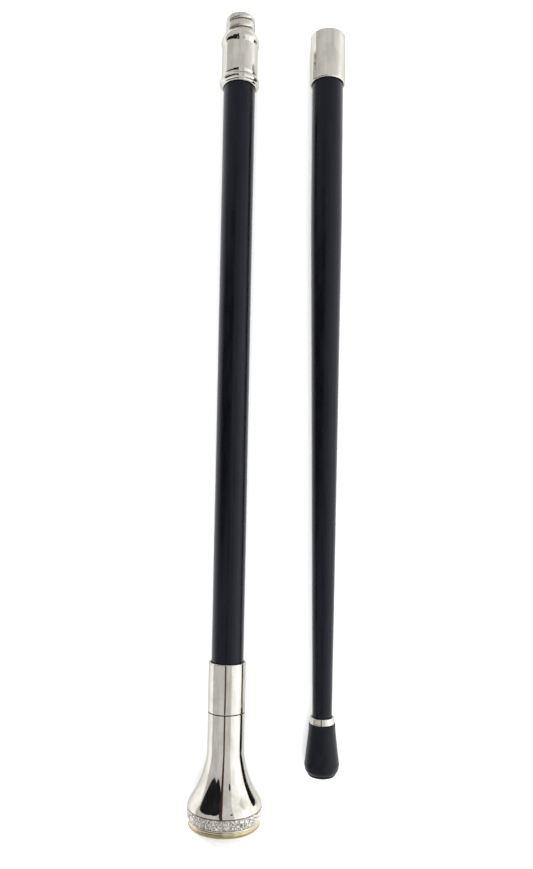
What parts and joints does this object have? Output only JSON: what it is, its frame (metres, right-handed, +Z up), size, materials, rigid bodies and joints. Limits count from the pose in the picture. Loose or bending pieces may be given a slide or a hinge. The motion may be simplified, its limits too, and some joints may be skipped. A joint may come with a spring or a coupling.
{
  "type": "two-piece walking cane",
  "caption": "Slender black cane in halves that screw together: domed-glass metal knob, plain collars, tapered lower half with a flared rubber foot.",
  "frame": {"origin": "on the table, under the centre of the box around the two halves as they lie side by side", "axes": "+Y along the lower half towards its socket, +X from the handle half to the lower half, +Z up from the table"},
  "size_m": [0.0878, 0.4764, 0.043],
  "materials": {
    "shaft": "black lacquer",
    "plate": "polished nickel silver",
    "thread": "polished steel",
    "inner_metal": "turned",
    "bezel": "dull gilt",
    "lens": "slightly milky",
    "seat": "pale pearl",
    "core": "cast filler",
    "steel": "zinc plated",
    "rubber": "matte moulded"
  },
  "bodies": {
    "handle": {"upper_shaft": "shaft", "joint_collar": "plate", "joint_screw": "thread", "neck_collar": "plate", "neck_nut": "inner_metal"},
    "dowel": {"joint_dowel": "steel"},
    "socket": {"socket_collar": "plate"},
    "lower": {"lower_shaft": "shaft", "joint_nut": "inner_metal", "tip_ferrule": "plate"},
    "tip": {"rubber_tip": "rubber", "tip_washer": "steel"},
    "knob_end": {"dome_lens": "lens", "dome_bezel": "bezel", "lens_seat": "seat"},
    "knob": {"knob_shell": "plate", "embossed_band": "plate", "knob_core": "core", "knob_screw": "thread"}
  },
  "joints": [
    {"name": "joint_feed", "type": "slide", "parent": "handle", "child": "dowel", "axis": [-0.011, -0.9997, 0.0235], "range_m": [0, 0.01213]},
    {"name": "joint_swing", "type": "hinge", "parent": "dowel", "child": "socket", "pos_m": [0.00814, 0.2335, 0.01049], "axis": [0.0137, 0.0117, 0.9998], "range_deg": [0, 179.35]},
    {"name": "joint_turn", "type": "hinge", "parent": "socket", "child": "lower", "pos_m": [0.03365, 0.22819, 0.0102], "axis": [0, 1, 0], "range_deg": [0, 900.01]},
    {"name": "tip_pull", "type": "slide", "parent": "lower", "child": "tip", "axis": [0, -1, 0], "range_m": [0, 0.03]},
    {"name": "knob_feed", "type": "slide", "parent": "handle", "child": "knob_end", "axis": [-0.011, -0.9997, 0.0235], "range_m": [0, 0.0097]},
    {"name": "knob_turn", "type": "hinge", "parent": "knob_end", "child": "knob", "pos_m": [-0.02173, -0.16248, 0.0202], "axis": [-0.011, -0.9997, 0.0235], "range_deg": [0, 720.01]}
  ],
  "couplings": [
    {"joint": "joint_turn", "follows": "joint_feed", "rad_per_m": 1295.5},
    {"joint": "knob_turn", "follows": "knob_feed", "rad_per_m": 1295.5}
  ]
}
